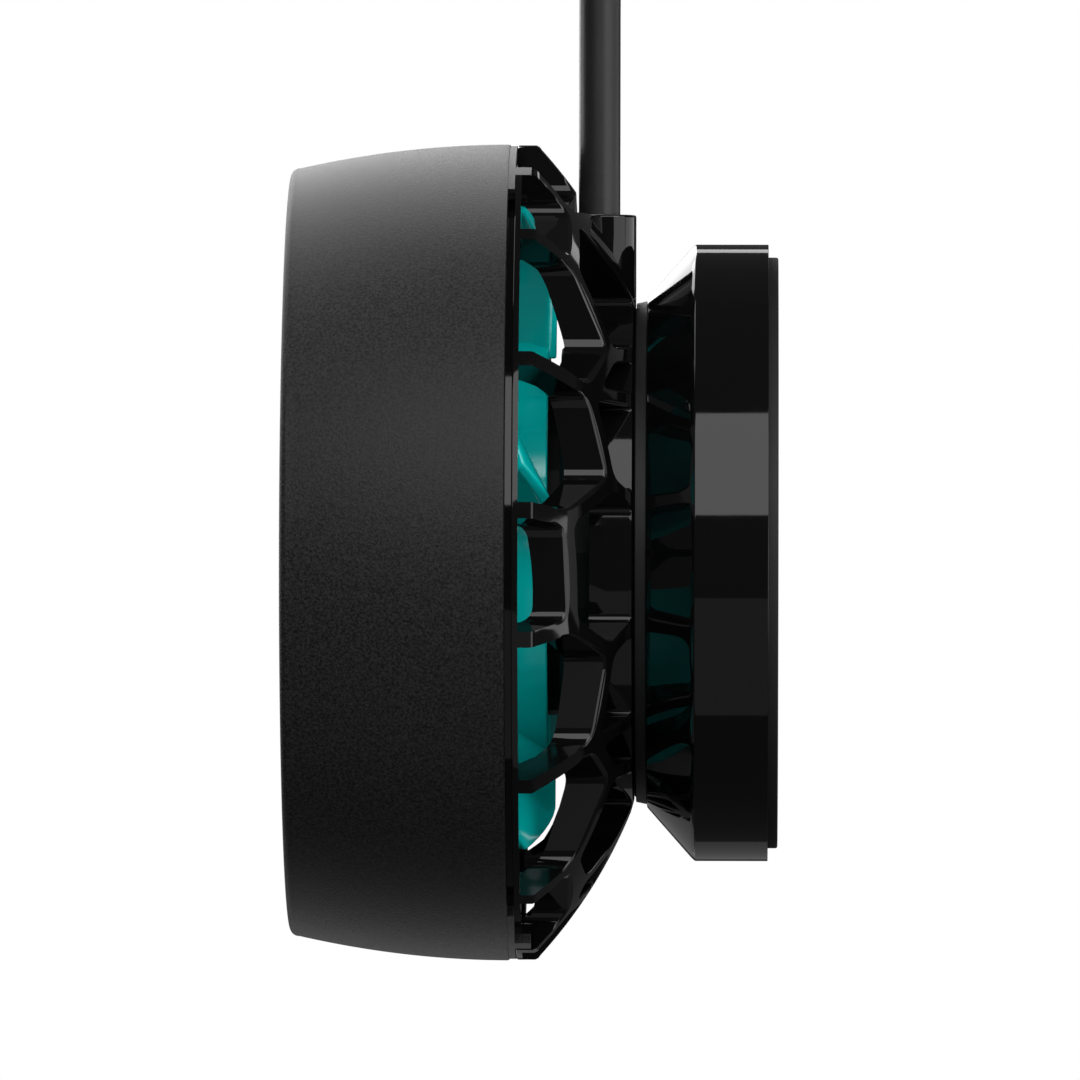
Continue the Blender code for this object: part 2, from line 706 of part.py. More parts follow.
def tail_route():
    """The short end that hangs down from the coil's other side to the connector."""
    top = COIL_Z - coil_edge() - 0.2
    points = []
    for share in (0.0, 0.5, 1.0):
        points.append((TAIL_X + 0.4 * (1 - share) ** 2, 2 * COIL_Y, top + (TAIL_END - top) * share))
    return points


def make_tube(name, points, material):
    curve = bpy.data.curves.new(name, "CURVE")
    curve.dimensions = "3D"
    curve.bevel_depth = CABLE_RADIUS * MM
    curve.bevel_resolution = 3
    curve.use_fill_caps = True
    spline = curve.splines.new("POLY")
    spline.points.add(len(points) - 1)
    for target, point in zip(spline.points, points):
        target.co = (*(value * MM for value in point), 1.0)
    curve.materials.append(material)
    tube = bpy.data.objects.new(name, curve)
    bpy.context.scene.collection.objects.link(tube)
    return tube


def make_cable_coil(material):
    """The coil's outer shape: a ring of nearly square section, whose axis is parallel to the pump's."""
    corner = 2.6
    section = []
    for number, (sx, sr) in enumerate(((1, 1), (-1, 1), (-1, -1), (1, -1))):
        centre = (sx * (COIL_HALF - corner), COIL_RADIUS + sr * (COIL_HALF - corner))
        section += arc_points(centre, corner, 90.0 * number, 90.0 * number + 90.0, 2)
    coil = turned("cable_coil", section, material, MIDDLE)
    coil.location = (COIL_X * MM, COIL_Y * MM, COIL_Z * MM)


def make_tie(material):
    """A hook-and-loop strap round the top of the coil, as a closed band."""
    bm = bmesh.new()
    loops = []
    for y in (-TIE_WIDTH / 2, TIE_WIDTH / 2):
        for half in (COIL_HALF + GAP, COIL_HALF + GAP + TIE_THICKNESS):
            cut, low = half - 1.7, half + 0.8
            corners = [(half, cut), (cut, half), (-cut, half), (-half, cut)]
            corners += [(-half, 1.6 - low), (-cut, -low), (cut, -low), (half, 1.6 - low)]
            loops.append([bm.verts.new((x, y, z)) for x, z in corners])
    for a, b in ((0, 1), (1, 3), (3, 2), (2, 0)):
        for here in range(8):
            there = (here + 1) % 8
            bm.faces.new((loops[a][here], loops[a][there], loops[b][there], loops[b][here]))
    tie = add_object("cable_tie", bm, material)
    tie.location = (COIL_X * MM, COIL_Y * MM, (COIL_Z + COIL_RADIUS) * MM)


def make_connector(materials):
    """The waterproof connector on the cable's end, which points down below the coil's side."""
    end = TAIL_END - 0.3
    body = [(end - 26.7, 0.0), (end - 26.7, 4.4), (end - 19.6, 4.4), (end - 19.6, 5.6)]
    body += [(end - 8.0, 5.6), (end - 5.0, 4.2), (end, 3.4), (end, 0.0)]
    body = add_object("connector_body", turned_mesh(body, 18, "Z"), materials["satin_black"])
    nut = [(end - 23.6, 4.75), (end - 24.0, 5.4), (end - 24.0, 7.4), (end - 23.3, 8.0)]
    nut += [(end - 20.7, 8.0), (end - 20.0, 7.4), (end - 20.0, 4.75)]
    nut = add_object("connector_nut", turned_mesh(nut, 18, "Z"), materials["satin_black"])
    for obj in (body, nut):
        obj.location = (TAIL_X * MM, 2 * COIL_Y * MM, 0)


def make_cord(materials):
    make_tube("cable", lead_route(), materials["cable_rubber"])
    make_cable_coil(materials["cable_rubber"])
    make_tube("cable_tail", tail_route(), materials["cable_rubber"])
    make_tie(materials["strap"])
    make_connector(materials)


def main():
    clear_scene()
    materials = make_materials()
    make_base(materials)
    make_pivot(materials)
    make_head(materials)
    make_rotor(materials)
    make_shroud(materials)
    make_cord(materials)


main()
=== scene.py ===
"""Look of the aquarium wave maker pump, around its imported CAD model.

The pump's axis is X, the glass is the plane X = 0 and the cable rises along +Z. Sizes are in
millimetres here, as in the CAD source, and MM turns them into metres.
"""

import json
from math import atan2, cos, degrees, pi, radians, sin, sqrt

import bmesh
import bpy
from mathutils import Matrix, Vector

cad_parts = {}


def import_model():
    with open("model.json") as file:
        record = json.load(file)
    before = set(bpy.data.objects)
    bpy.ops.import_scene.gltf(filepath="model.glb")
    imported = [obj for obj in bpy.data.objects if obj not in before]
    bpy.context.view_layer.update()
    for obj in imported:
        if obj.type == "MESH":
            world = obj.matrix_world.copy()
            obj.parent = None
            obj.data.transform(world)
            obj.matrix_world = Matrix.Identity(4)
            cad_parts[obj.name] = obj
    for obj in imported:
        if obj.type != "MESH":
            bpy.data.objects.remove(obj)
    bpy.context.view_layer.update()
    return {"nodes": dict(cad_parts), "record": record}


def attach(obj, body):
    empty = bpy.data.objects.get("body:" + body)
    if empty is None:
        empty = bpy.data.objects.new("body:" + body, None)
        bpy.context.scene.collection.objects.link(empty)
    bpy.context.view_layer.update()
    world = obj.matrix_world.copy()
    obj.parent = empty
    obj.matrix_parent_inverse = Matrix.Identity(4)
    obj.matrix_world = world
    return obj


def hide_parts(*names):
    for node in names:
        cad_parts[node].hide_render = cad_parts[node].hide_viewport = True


MM = 0.001
FINE = 192
SHARP_ANGLE = 32.0

# Camera, in metres, and its field of view in degrees
CAMERA_PLACE = (-0.0044, -1.8, 0.00166)
CAMERA_TARGET = (-0.0315, 0.0, 0.00166)
CAMERA_FIELD = 4.55
CAMERA_ROLL = 0.1

# The cord's route, as in the CAD source
CABLE_X = -23.68
CABLE_RADIUS = 2.75
BOSS_TOP = 44.7
COIL_X = -13.5
COIL_Y = 38.5
COIL_Z = 135.0
COIL_RADIUS = 30.25
COIL_HALF = 11.0
TAIL_X = -9.4
TAIL_END = 108.0
ROW_START = COIL_X - 0.75 * COIL_HALF
COIL_TURNS = 13.5
COIL_STEPS = 56

# The cage's shape, as in the CAD source
RIM_FRONT = -34.45
RIM_RADIUS = 53.9
CAGE_REAR = -18.95
CASE_BORE = 28.1
HUB_RING_RADIUS = 33.4
DOME_CURVE = 64.0
DOME_START = Vector((-31.3, 53.3))
DOME_END = Vector((CAGE_REAR, 33.2))
WEB_CUT_FRONT = -33.6
STRUT_HALF_WIDTH = 1.05
CELL_CORNER = 1.6
OPEN_RADIUS = 62.0
BOSS_X = -22.7
BOSS_RADIUS = 3.9

# The shroud's, propeller's and guard's shapes, as in the CAD source
SHROUD_REAR = -35.35
SHROUD_RADIUS = 54.0
SHROUD_CURVE = 123.0
SHROUD_WALL = 2.2
SHROUD_LIP = -63.2
BAYONET_TWIST = 12.0
KEY_TABS = (68.0, -74.2)
BLADES = 5
BLADE_ROOT = 26.8
BLADE_THICKNESS = 1.5
PROPELLER_HUB_RADIUS = 28.2
PROPELLER_RADIUS = 45.8
GUARD_CELLS = 8
GUARD_OPENING = 45.5
GUARD_STRUT_HALF_WIDTH = 0.95
GUARD_KNEE = 26.5
GUARD_FORK = 30.5

# Finer than the CAD: fillets on the struts, and a little more room for the keys and blades
EDGE = 0.42
GUARD_EDGE = 0.4
NOTCH_SPARE = 2.3
BLADE_SWEEP_START = 37.5
NUT_RADIUS = 8.0
NUT_GROOVES = 18


# Materials


def link(tree, start, output, end, entry):
    tree.links.new(start.outputs[output], end.inputs[entry])


def noise_node(tree, place, size_mm, detail=3.0, roughness=0.55):
    """Noise whose features are about size_mm across."""
    node = tree.nodes.new("ShaderNodeTexNoise")
    node.inputs["Scale"].default_value = 1000.0 / size_mm
    node.inputs["Detail"].default_value = detail
    node.inputs["Roughness"].default_value = roughness
    link(tree, place, "Object", node, "Vector")
    return node


def range_node(tree, low, high, start, end):
    """Maps start to end onto low to high."""
    node = tree.nodes.new("ShaderNodeMapRange")
    node.inputs["From Min"].default_value = start
    node.inputs["From Max"].default_value = end
    node.inputs["To Min"].default_value = low
    node.inputs["To Max"].default_value = high
    return node


def make_material(name, colour, other, rough, grain, metallic=0.0, patch=9.0, spread=0.5):
    """A moulded or machined surface.

    colour and other are mixed in patches of about patch mm, and a smaller spread gives the
    patches harder edges. rough is the lowest and highest roughness, and grain is (size in mm,
    height in mm) of the finish.
    """
    material = bpy.data.materials.new(name)
    material.use_nodes = True
    tree = material.node_tree
    shader = tree.nodes["Principled BSDF"]
    place = tree.nodes.new("ShaderNodeTexCoord")
    patches = noise_node(tree, place, patch, 4.0)
    mix = tree.nodes.new("ShaderNodeMix")
    mix.data_type = "RGBA"
    mix.inputs["A"].default_value = (*colour, 1.0)
    mix.inputs["B"].default_value = (*other, 1.0)
    share = range_node(tree, 0.0, 1.0, 0.5 - spread, 0.5 + spread)
    link(tree, patches, "Fac", share, "Value")
    link(tree, share, "Result", mix, "Factor")
    link(tree, mix, "Result", shader, "Base Color")
    roughness = range_node(tree, rough[0], rough[1], 0.3, 0.7)
    link(tree, patches, "Fac", roughness, "Value")
    link(tree, roughness, "Result", shader, "Roughness")
    texture = noise_node(tree, place, grain[0], 2.0)
    bump = tree.nodes.new("ShaderNodeBump")
    bump.inputs["Strength"].default_value = 1.0
    bump.inputs["Distance"].default_value = grain[1] * MM
    link(tree, texture, "Fac", bump, "Height")
    link(tree, bump, "Normal", shader, "Normal")
    shader.inputs["Metallic"].default_value = metallic
    return material


def make_materials():
    plastic = make_material
    return {
        "matte_black": plastic(
            "matte_black", (0.0,) * 3, (0.036,) * 3, (0.46, 0.60), (0.3, 0.05), 0.0, 0.33, 0.13
        ),
        "gloss_black": plastic(
            "gloss_black", (0.0035,) * 3, (0.0045,) * 3, (0.035, 0.06), (6.0, 0.004)
        ),
        "satin_black": plastic(
            "satin_black", (0.010,) * 3, (0.013,) * 3, (0.48, 0.56), (0.4, 0.01)
        ),
        "teal_plastic": plastic(
            "teal_plastic",
            (0.0, 0.45, 0.43),
            (0.0, 0.48, 0.46),
            (0.10, 0.14),
            (5.0, 0.01),
        ),
        "rubber": plastic("rubber", (0.012,) * 3, (0.016,) * 3, (0.60, 0.75), (0.25, 0.03)),
        "cable_rubber": plastic(
            "cable_rubber", (0.018,) * 3, (0.022,) * 3, (0.34, 0.42), (0.5, 0.02)
        ),
        "magnet_nickel": plastic(
            "magnet_nickel", (0.55, 0.53, 0.50), (0.60, 0.58, 0.55), (0.2, 0.3), (2.0, 0.004), 1.0
        ),
        "steel": plastic(
            "steel", (0.42, 0.42, 0.43), (0.50, 0.50, 0.51), (0.25, 0.38), (0.4, 0.006), 1.0
        ),
        "copper": plastic(
            "copper", (0.60, 0.20, 0.07), (0.72, 0.28, 0.12), (0.25, 0.35), (0.6, 0.06), 1.0
        ),
        "ceramic": plastic(
            "ceramic", (0.76, 0.75, 0.72), (0.82, 0.81, 0.78), (0.18, 0.28), (0.3, 0.004)
        ),
        "strap": make_strap_material(),
    }


def make_strap_material():
    """Woven hook-and-loop tape."""
    material = bpy.data.materials.new("strap")
    material.use_nodes = True
    tree = material.node_tree
    shader = tree.nodes["Principled BSDF"]
    place = tree.nodes.new("ShaderNodeTexCoord")
    bump = tree.nodes.new("ShaderNodeBump")
    bump.inputs["Distance"].default_value = 0.25 * MM
    heights = []
    for direction in ("X", "Y", "Z"):
        wave = tree.nodes.new("ShaderNodeTexWave")
        wave.bands_direction = direction
        wave.inputs["Scale"].default_value = 330.0
        wave.inputs["Distortion"].default_value = 1.2
        link(tree, place, "Object", wave, "Vector")
        heights.append(wave)
    first = tree.nodes.new("ShaderNodeMath")
    first.operation = "MULTIPLY"
    link(tree, heights[0], "Fac", first, 0)
    link(tree, heights[1], "Fac", first, 1)
    both = tree.nodes.new("ShaderNodeMath")
    both.operation = "MAXIMUM"
    link(tree, first, "Value", both, 0)
    link(tree, heights[2], "Fac", both, 1)
    link(tree, both, "Value", bump, "Height")
    link(tree, bump, "Normal", shader, "Normal")
    fuzz = noise_node(tree, place, 0.5)
    colour = tree.nodes.new("ShaderNodeMix")
    colour.data_type = "RGBA"
    colour.inputs["A"].default_value = (0.012, 0.012, 0.013, 1.0)
    colour.inputs["B"].default_value = (0.045, 0.045, 0.048, 1.0)
    link(tree, fuzz, "Fac", colour, "Factor")
    link(tree, colour, "Result", shader, "Base Color")
    shader.inputs["Roughness"].default_value = 0.9
    shader.inputs["Sheen Weight"].default_value = 0.3
    return material


# Mesh tools


def polar(radius, angle):
    """(y, z) of a point about the axis: 0 degrees points to -Y and 90 degrees points up."""
    return (-radius * cos(radians(angle)), radius * sin(radians(angle)))


def arc_points(centre, radius, start, end, steps):
    """Points on an arc, as (x, y), from start to end in degrees."""
    angles = [radians(start + (end - start) * step / steps) for step in range(steps + 1)]
    return [(centre[0] + radius * cos(a), centre[1] + radius * sin(a)) for a in angles]


def softened(corners, steps=4):
    """An outline from (x, y, fillet) corners, with each fillet as a curve."""
    points = [Vector(corner[:2]) for corner in corners]
    result = []
    for index, (point, corner) in enumerate(zip(points, corners)):
        before = points[index - 1] - point
        after = points[(index + 1) % len(points)] - point
        reach = min(corner[2], 0.49 * before.length, 0.49 * after.length)
        if reach <= 0:
            result.append(tuple(point))
            continue
        start = point + before.normalized() * reach
        end = point + after.normalized() * reach
        for step in range(steps + 1):
            t = step / steps
            place = start * (1 - t) ** 2 + point * 2 * t * (1 - t) + end * t**2
            result.append(tuple(place))
    return result


def turn_faces(bm, profile, segments, axis="X"):
    """Adds an outline of (along, radius) points, turned about the axis.

    An outline that doesn't touch the axis is closed into a ring.
    """
    closed = min(radius for _, radius in profile) > 1e-6
    rings = []
    for along, radius in profile:
        if radius < 1e-6:
            rings.append([bm.verts.new(on_axis(along, 0.0, 0.0, axis))] * segments)
            continue
        angles = [2 * pi * step / segments for step in range(segments)]
        rings.append([bm.verts.new(on_axis(along, radius, a, axis)) for a in angles])
    pairs = list(zip(rings, rings[1:]))
    if closed:
        pairs.append((rings[-1], rings[0]))
    for low, high in pairs:
        for here in range(segments):
            there = (here + 1) % segments
            loop = [low[here], low[there], high[there], high[here]]
            corners = list(dict.fromkeys(loop))
            if len(corners) > 2:
                bm.faces.new(corners)


def on_axis(along, radius, angle, axis):
    """The place of a turned point, about the X axis or the Z axis."""
    side, up = radius * cos(angle), radius * sin(angle)
    return (along, side, up) if axis == "X" else (side, up, along)


def as_object(name, bm, material=None):
    """Makes an object from bm, in millimetres, with outward faces and smooth round sides."""
    bmesh.ops.remove_doubles(bm, verts=bm.verts, dist=0.0005)
    bmesh.ops.recalc_face_normals(bm, faces=bm.faces)
    bmesh.ops.scale(bm, vec=(MM, MM, MM), verts=bm.verts)
    mesh = bpy.data.meshes.new(name)
    bm.to_mesh(mesh)
    bm.free()
    smooth(mesh)
    obj = bpy.data.objects.new(name, mesh)
    bpy.context.scene.collection.objects.link(obj)
    if material:
        mesh.materials.append(material)
    return obj


def smooth(mesh):
    mesh.shade_smooth()
    mesh.set_sharp_from_angle(angle=radians(SHARP_ANGLE))


def turned(name, profile, material=None, segments=FINE, axis="X"):
    bm = bmesh.new()
    turn_faces(bm, profile, segments, axis)
    return as_object(name, bm, material)


def loft_faces(bm, loops):
    """Adds a closed solid through loops of as many points each."""
    rings = [[bm.verts.new(point) for point in loop] for loop in loops]
    bm.faces.new(rings[0])
    bm.faces.new(rings[-1])
    for low, high in zip(rings, rings[1:]):
        for here in range(len(low)):
            there = (here + 1) % len(low)
            bm.faces.new((low[here], low[there], high[there], high[here]))


def prism(name, outline, start, end):
    """A closed prism along X. The outline holds (y, z) points."""
    bm = bmesh.new()
    loft_faces(bm, [[(x, y, z) for y, z in outline] for x in (start, end)])
    return as_object(name, bm)


def arc_block(name, inner, outer, start_angle, end_angle, start, end, steps=24):
    """A block that follows an arc about the axis, from one angle to the other."""
    angles = [start_angle + (end_angle - start_angle) * s / steps for s in range(steps + 1)]
    outline = [polar(outer, angle) for angle in angles]
    outline += [polar(inner, angle) for angle in reversed(angles)]
    return prism(name, outline, start, end)


def combine(target, tools, operation="DIFFERENCE"):
    """Applies one Boolean for each tool and removes the tools."""
    for tool in tools:
        modifier = target.modifiers.new(tool.name, "BOOLEAN")
        modifier.operation = operation
        modifier.solver = "EXACT"
        modifier.object = tool
        bake(target)
        bpy.data.objects.remove(tool, do_unlink=True)


def bake(obj):
    """Applies the object's modifiers."""
    graph = bpy.context.evaluated_depsgraph_get()
    mesh = bpy.data.meshes.new_from_object(obj.evaluated_get(graph))
    obj.modifiers.clear()
    obj.data = mesh
    smooth(mesh)


def show(obj, body, slot, *nodes):
    """Lets obj stand for CAD nodes on a body, with weighted normals."""
    if obj.type == "MESH":
        weighted = obj.modifiers.new("weighted", "WEIGHTED_NORMAL")
        weighted.keep_sharp = True
        weighted.weight = 80
    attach(obj, body)
    if nodes:
        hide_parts(*nodes)
    return obj


# Cells of the cage and the guard


def signed_area(points):
    pairs = zip(points, points[1:] + points[:1])
    return sum(a[0] * b[1] - b[0] * a[1] for a, b in pairs) / 2


def inset(points, distance):
    """Moves each side of an outline inwards by distance."""
    points = [Vector(point) for point in points]
    if signed_area(points) < 0:
        points.reverse()
    moved = []
    for index, point in enumerate(points):
        before = (point - points[index - 1]).normalized()
        after = (points[(index + 1) % len(points)] - point).normalized()
        left_before = Vector((-before.y, before.x))
        left_after = Vector((-after.y, after.x))
        bisector = (left_before + left_after).normalized()
        moved.append(point + bisector * distance / bisector.dot(left_before))
    return moved


def clip_outside(points, radius):
    """Cuts off the part of an outline that lies inside a circle, and follows the circle there."""
    result = []
    for here, there in zip(points, points[1:] + points[:1]):
        if here.length >= radius:
            result.append(here)
        if (here.length < radius) == (there.length < radius):
            continue
        along = there - here
        half = here.dot(along) / along.length_squared
        root = sqrt(half**2 - (here.length_squared - radius**2) / along.length_squared)
        share = -half + (root if here.length < radius else -root)
        crossing = here + along * share
        if here.length < radius:
            arc = [result[-1].lerp(crossing, part / 6) for part in range(1, 6)]
            result += [point * (radius / point.length) for point in arc]
        result.append(crossing)
    return result


def rounded(points, radius, steps=6):
    """Rounds each real corner of an outline with a curve that leaves its sides radius away."""
    result = []
    for index, point in enumerate(points):
        before = points[index - 1] - point
        after = points[(index + 1) % len(points)] - point
        if before.angle(after) > radians(160):
            result.append(point)
            continue
        reach = min(radius, 0.42 * before.length, 0.42 * after.length)
        start = point + before.normalized() * reach
        end = point + after.normalized() * reach
        for step in range(steps + 1):
            t = step / steps
            result.append(start * (1 - t) ** 2 + point * 2 * t * (1 - t) + end * t**2)
    return result


def cell_outline(corners, half_width, inner_limit):
    """The hole that is left between struts of this half width, outside a ring."""
    outline = inset([polar(*corner) for corner in corners], half_width)
    while outline[-1].length < inner_limit or outline[0].length < inner_limit:
        outline = outline[1:] + outline[:1]
    return rounded(clip_outside(outline, inner_limit), CELL_CORNER)


def widened(points, distance):
    """Moves an outline's points outwards by distance."""
    if distance == 0:
        return points
    return inset(points, -distance)


def mirrored(corners):
    """The same cell on the other side of the vertical plane."""
    return [(radius, 180.0 - angle) for radius, angle in corners]


def half_cage_cells(low_foot):
    """Corners of one side's cells, as (radius, degrees).

    The outer cells are open towards the rim, and a rib stands on each side of them. The corners
    follow the photograph more closely than the CAD source's do.
    """
    ribs = [86.0, 67.8, 48.7, 27.6, 6.6, -12.5, -33.7, -54.9, -76.0]
    feet = [(46.4, 85.0), (47.8, 67.2), (47.6, 51.8), (44.2, 28.0), (48.2, 5.2)]
    feet += [(47.4, -11.4), (43.2, -35.0), low_foot, (48.0, -77.0)]
    deep = {2: (39.4, 40.8), 3: (39.2, 13.4), 5: (39.4, -19.0), 6: (39.0, -47.8)}
    neck = [(31.0, angle) for angle in (86.0, 57.0, 39.6, 11.0, -16.0, -43.0, -62.0, -84.0)]
    near = []
    for index in range(8):
        cell = [(OPEN_RADIUS, ribs[index]), feet[index]]
        if index in deep:
            cell.append(deep[index])
        near.append(cell + [feet[index + 1], (OPEN_RADIUS, ribs[index + 1])])
    top, low, low_end, bottom = (39.0, 75.0), (46.2, -70.2), (38.8, -79.0), (44.5, -90.0)
    near.append([feet[1], feet[2], deep[2], neck[1], neck[0], top])
    near.append([deep[2], feet[3], neck[2], neck[1]])
    near.append([feet[3], deep[3], neck[3], neck[2]])
    near.append([feet[4], feet[5], deep[5], neck[4], neck[3], deep[3]])
    near.append([deep[5], feet[6], neck[5], neck[4]])
    near.append([feet[6], deep[6], neck[6], neck[5]])
    near.append([deep[6], feet[7], low, low_end, neck[7], neck[6]])
    near.append([low, feet[8], bottom, low_end])
    near.append([(OPEN_RADIUS, -76.0), feet[8], bottom, (OPEN_RADIUS, -90.0)])
    near.append([bottom, low_end, neck[7], (31.0, -90.0)])
    return near


def cage_cells():
    """The side that the photograph shows, and the far side, where one foot is higher."""
    far = [mirrored(cell) for cell in half_cage_cells((47.4, -55.0))]
    return half_cage_cells((47.4, -59.2)) + far


# Cage


def dome_centre():
    """Centre of the arc that the dome follows from the rim to the neck, as (x, radius)."""
    middle = (DOME_START + DOME_END) / 2
    chord = DOME_END - DOME_START
    inward = Vector((chord.y, -chord.x)).normalized()
    return middle + inward * sqrt(DOME_CURVE**2 - (chord.length / 2) ** 2)


def dome_x(radius):
    """Where the dome's outer surface is along the axis, at a radius."""
    centre = dome_centre()
    radius = min(radius, RIM_RADIUS + 0.3)
    return centre.x + sqrt(DOME_CURVE**2 - (radius - centre.y) ** 2)


def dome_arc(steps):
    centre = dome_centre()
    first = degrees(atan2(DOME_START.y - centre.y, DOME_START.x - centre.x))
    last = degrees(atan2(DOME_END.y - centre.y, DOME_END.x - centre.x))
    return arc_points(centre, DOME_CURVE, first, last, steps)


def cage_profile():
    """The cage before its cells are cut: spigot, rim, dome and the ring round the motor."""
    rim = [(RIM_FRONT, RIM_RADIUS - 0.25), (RIM_FRONT + 0.07, RIM_RADIUS - 0.07)]
    rim += [(RIM_FRONT + 0.25, RIM_RADIUS), (-32.0, RIM_RADIUS), (-31.6, RIM_RADIUS - 0.2)]
    neck = [(CAGE_REAR, 32.8), (CAGE_REAR, CASE_BORE), (-24.6, CASE_BORE)]
    inner = [(-24.6, HUB_RING_RADIUS), (-28.5, 42.4), (-30.2, 46.1), (-31.4, 48.0), (-33.4, 49.7)]
    spigot = [(-38.7, 49.6), (-38.9, 49.8), (-38.9, 51.2), (-38.7, 51.4), (RIM_FRONT, 51.4)]
    return rim + dome_arc(20)[:-1] + [(CAGE_REAR - 0.1, 33.15)] + neck + inner + spigot


def clear_of_hub(points):
    """Keeps an outline's points outside the ring round the motor, whose rim stays square."""
    return [point * max(1.0, HUB_RING_RADIUS / point.length) for point in points]


def cell_cutter(bm, corners):
    """A cell's hole, whose mouth on the dome flares out into a fillet of radius EDGE."""
    wall = cell_outline(corners, STRUT_HALF_WIDTH, HUB_RING_RADIUS)
    loops = [[(WEB_CUT_FRONT, *point) for point in wall]]
    for angle in (0.0, 15.0, 30.0, 45.0, 60.0, 74.0):
        out = EDGE * (1 - cos(radians(angle)))
        deep = EDGE * (1 - sin(radians(angle)))
        outline = clear_of_hub(widened(wall, out))
        loops.append([(dome_x(point.length) - deep, *point) for point in outline])
    mouth = clear_of_hub(widened(wall, EDGE * 0.9))
    loops.append([(dome_x(point.length) + 0.12, *point) for point in mouth])
    loops.append([(-10.0, *point) for point in mouth])
    loft_faces(bm, loops)


def make_cage(material):
    """The turned cage with its cells, the key notches and the cable boss."""
    cage = turned("cage_frame", cage_profile(), material)
    bm = bmesh.new()
    for corners in cage_cells():
        cell_cutter(bm, corners)
    slot = [(-20.0, BOSS_TOP), (20.0, BOSS_TOP), (20.0, 60.0), (-20.0, 60.0)]
    tools = [as_object("cells", bm), prism("cable_slot", slot, -26.8, -10.0)]
    for index, tab in enumerate(KEY_TABS):
        last = tab + BAYONET_TWIST + NOTCH_SPARE
        tools.append(arc_block(f"notch_{index}", 52.1, 56.0, tab - 1.6, last, -35.0, -32.1))
    combine(cage, tools)
    boss_corners = [(30.0, 0.0, 0.0), (30.0, BOSS_RADIUS, 0.0)]
    boss_corners += [(BOSS_TOP, BOSS_RADIUS, 0.35), (BOSS_TOP, 0.0, 0.0)]
    boss = turned("boss", softened(boss_corners), None, 64, "Z")
    boss.location.x = BOSS_X * MM
    combine(cage, [boss], "UNION")
    bore = turned("bore", [(33.0, 0.0), (33.0, 3.05), (50.0, 3.05), (50.0, 0.0)], None, 48, "Z")
    bore.location.x = CABLE_X * MM
    combine(cage, [bore])
    return show(cage, "head", "gloss_black", "cage")


# Shroud and guard


def shroud_outer(x):
    """The outer wall's radius: it is tangent to the rear edge and curves in towards the front."""
    return SHROUD_RADIUS - (x - SHROUD_REAR) ** 2 / (2 * SHROUD_CURVE)


def shroud_profile():
    """The shroud's wall, from its rear edge round the front lip to the groove of the bayonet."""
    lip = SHROUD_LIP
    start, steps = SHROUD_REAR - 0.3, 32
    stations = [start + (lip - SHROUD_REAR + 0.3) * step / steps for step in range(steps + 1)]
    edge = [(SHROUD_REAR, SHROUD_RADIUS - 0.3), (SHROUD_REAR - 0.09, SHROUD_RADIUS - 0.09)]
    outer = edge + [(x, shroud_outer(x)) for x in stations]
    tip = shroud_outer(lip)
    nose = arc_points((lip - 0.1, tip - 1.1), 1.1, 90.0, 180.0, 8)[1:]
    nose += arc_points((lip - 0.1, tip - 1.1), 1.1, 180.0, 270.0, 6)[1:]
    wall = [x for x in stations[:0:-1] if -62.6 < x < -39.0]
    inner = [(x, shroud_outer(x) - SHROUD_WALL) for x in wall]
    rear = [(-38.7, 51.75), (-38.7, 52.6), (-36.9, 52.6), (-36.9, 51.75), (SHROUD_REAR, 51.75)]
    return outer + nose + inner + rear


def make_front_shroud(material):
    """The turned shroud, with the bayonet's entries and two keys with hooks."""
    shroud = turned("shroud", shroud_profile(), material)
    entries = []
    for index in range(4):
        angle = 90.0 * index + 45.0 - BAYONET_TWIST
        entries.append(arc_block(f"entry_{index}", 50.5, 52.6, angle - 7, angle + 7, -37.5, -34.0))
    combine(shroud, entries)
    for index, (middle, tab) in enumerate(zip((90.0, -90.0), KEY_TABS)):
        key = arc_block(f"key_{index}", 52.2, 53.8, middle - 28, middle + 28, -36.0, -34.5, 48)
        hook = arc_block(f"hook_{index}", 52.5, 53.8, tab - 1.2, tab + 1.8, -35.2, -32.4, 4)
        combine(shroud, [key, hook], "UNION")
    return show(shroud, "shroud", "matte_black", "front_shroud")


def guard_cells():
    """Two rows of cells round the guard's boss, like a honeycomb bent into a ring."""
    cells = []
    half = 180.0 / GUARD_CELLS
    for index in range(GUARD_CELLS):
        angle = 2 * half * index
        low, high = (GUARD_KNEE, angle - half), (GUARD_KNEE, angle + half)
        cells.append([(5.0, angle - half), low, (GUARD_FORK, angle), high, (5.0, angle + half)])
        top = [(OPEN_RADIUS, angle + half * share) for share in (0, 1, 2)]
        cells.append([(GUARD_FORK, angle), *top, (GUARD_FORK, angle + 2 * half), high])
    return cells


def guard_front(radius):
    """Where the guard's bowed front is along the axis, at a radius."""
    return -59.3 - 2.2 * (1 - (min(radius, 47.0) / 47.0) ** 2)


def guard_cutter(bm, corners):
    """A cell's hole in the guard, with a fillet at the front, that stops short of the ring."""
    wall = cell_outline(corners, GUARD_STRUT_HALF_WIDTH, 10.0)
    wall = [p * (GUARD_OPENING / p.length) if p.length > GUARD_OPENING else p for p in wall]
    loops = [[(-50.0, *point) for point in wall]]
    for angle in (0.0, 25.0, 50.0, 72.0):
        out = GUARD_EDGE * (1 - cos(radians(angle)))
        deep = GUARD_EDGE * (1 - sin(radians(angle)))
        outline = widened(wall, out)
        loops.append([(guard_front(point.length) + deep, *point) for point in outline])
    mouth = widened(wall, GUARD_EDGE * 0.95)
    loops.append([(guard_front(point.length) - 0.1, *point) for point in mouth])
    loops.append([(-70.0, *point) for point in mouth])
    loft_faces(bm, loops)


